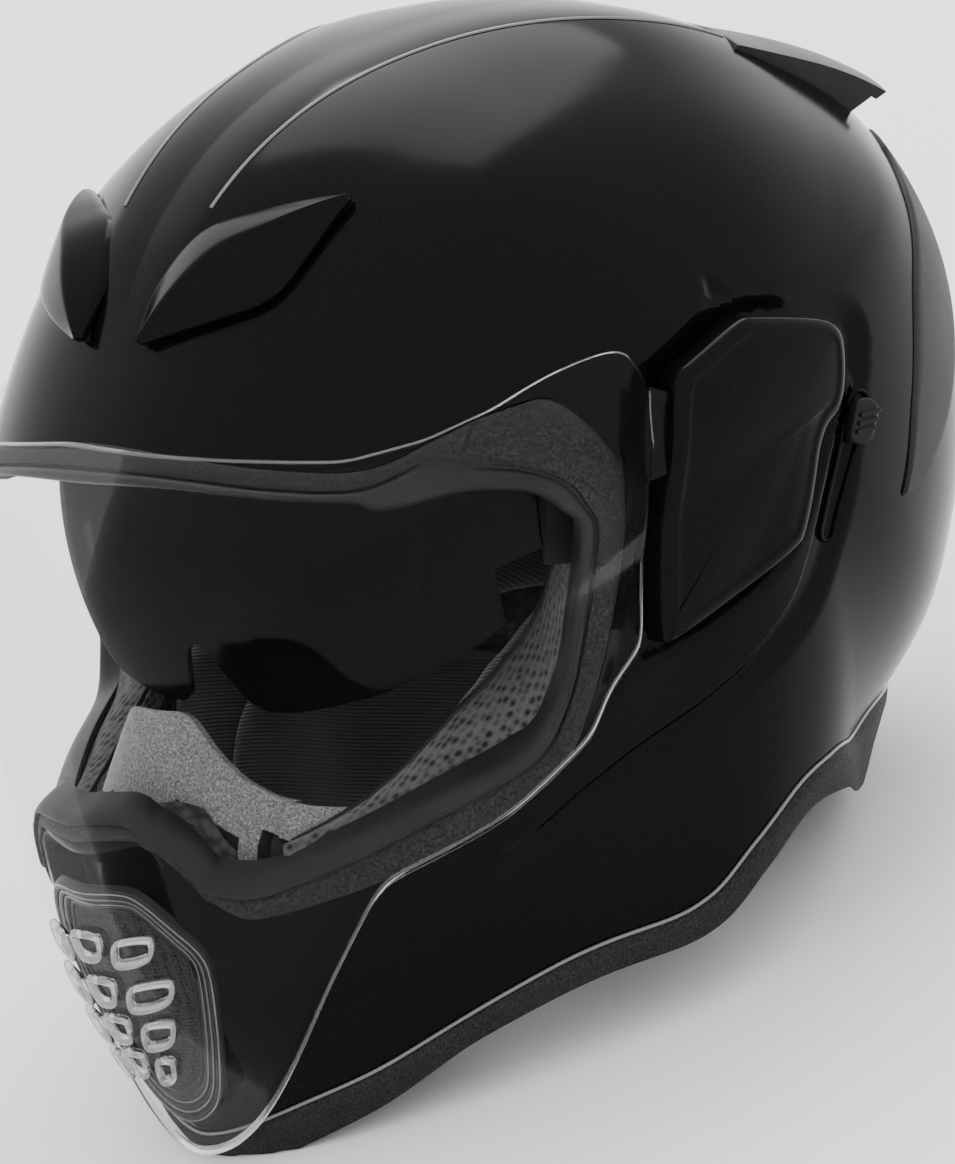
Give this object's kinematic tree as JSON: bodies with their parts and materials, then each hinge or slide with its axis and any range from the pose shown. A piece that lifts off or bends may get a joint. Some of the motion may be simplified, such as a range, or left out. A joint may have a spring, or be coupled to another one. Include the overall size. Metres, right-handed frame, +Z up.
{
  "type": "motorcycle helmet",
  "caption": "Full-face motorcycle helmet with a clear flip-up shield, a drop-down smoke sun shield, sliding vents, side plates and a rear spoiler.",
  "frame": {"origin": "centre of the bounding box, on the table the helmet stands on", "axes": "+X to the wearer's left, +Y to the back of the helmet, +Z up; the helmet stands nose-up on its chin and rear trim"},
  "size_m": [0.2588, 0.3453, 0.2639],
  "materials": {
    "gloss_shell": "gloss black clear-coated shell",
    "foam": "moulded expanded foam, matte",
    "lining": "brushed mesh-knit lining",
    "curtain": "speckled neoprene sheet",
    "soft_rubber": "finely pebbled matte rubber",
    "moulded_grey": "spark-textured moulding",
    "matte_black": "satin black moulding",
    "mesh": "fine woven screen",
    "clear": "clear hard-coated polycarbonate",
    "smoke": "dark smoke polycarbonate",
    "webbing": "woven nylon webbing",
    "steel": "satin stainless steel"
  },
  "bodies": {
    "helmet": {"outer_shell": "gloss_shell", "eps_liner": "foam", "chin_foam": "foam", "crown_liner": "lining", "neck_roll": "lining", "cheek_pad_left": "lining", "cheek_pad_right": "lining", "eyeport_gasket": "soft_rubber", "base_trim": "soft_rubber", "breath_deflector": "moulded_grey", "chin_curtain": "curtain", "chin_vent_frame": "matte_black", "chin_vent_mesh": "mesh", "pivot_base_left": "matte_black", "pivot_base_right": "matte_black", "side_plate_left": "gloss_shell", "side_plate_right": "gloss_shell", "sun_bracket_left": "matte_black", "sun_bracket_right": "matte_black", "lever_track": "matte_black", "vent_base_left": "matte_black", "vent_base_right": "matte_black", "rear_spoiler": "matte_black", "rear_panel_left": "matte_black", "rear_panel_right": "matte_black", "strap_anchors": "steel", "strap_left": "webbing", "strap_right": "webbing"},
    "shield": {"shield": "clear", "shield_arm_left": "clear", "shield_arm_right": "clear"},
    "sun_shield": {"sun_lens": "smoke", "sun_arm_left": "matte_black", "sun_arm_right": "matte_black"},
    "sun_lever": {"sun_lever": "matte_black"},
    "vent_cover_left": {"vent_cover_left": "gloss_shell"},
    "vent_cover_right": {"vent_cover_right": "gloss_shell"},
    "chin_vent_shutter": {"chin_vent_shutter": "matte_black"},
    "d_ring_outer": {"d_ring_outer": "steel"},
    "d_ring_inner": {"d_ring_inner": "steel"}
  },
  "joints": [
    {"name": "shield_hinge", "type": "hinge", "parent": "helmet", "child": "shield", "pos_m": [0, 0.02404, 0.14876], "axis": [-1, 0, 0], "range_deg": [0, 50]},
    {"name": "sun_shield_hinge", "type": "hinge", "parent": "helmet", "child": "sun_shield", "pos_m": [0, 0.00849, 0.13807], "axis": [-1, 0, 0], "range_deg": [0, 40]},
    {"name": "sun_lever_slide", "type": "slide", "parent": "helmet", "child": "sun_lever", "axis": [0, -0.6093, -0.793], "range_m": [0, 0.024]},
    {"name": "vent_left_slide", "type": "slide", "parent": "helmet", "child": "vent_cover_left", "axis": [0.5971, 0.7464, 0.294], "range_m": [0, 0.004]},
    {"name": "vent_right_slide", "type": "slide", "parent": "helmet", "child": "vent_cover_right", "axis": [-0.5971, 0.7464, 0.294], "range_m": [0, 0.004]},
    {"name": "chin_shutter_slide", "type": "slide", "parent": "helmet", "child": "chin_vent_shutter", "axis": [0, 0.1045, -0.9945], "range_m": [0, 0.004]},
    {"name": "d_ring_outer_hinge", "type": "hinge", "parent": "helmet", "child": "d_ring_outer", "pos_m": [0.0752, 0.00347, 0.03537], "axis": [0, -1, 0], "range_deg": [0, 60]},
    {"name": "d_ring_inner_hinge", "type": "hinge", "parent": "helmet", "child": "d_ring_inner", "pos_m": [0.0698, 0.00347, 0.03537], "axis": [0, 1, 0], "range_deg": [0, 60]}
  ],
  "couplings": [
    {"joint": "sun_lever_slide", "follows": "sun_shield_hinge", "m_per_rad": 0.0343}
  ]
}
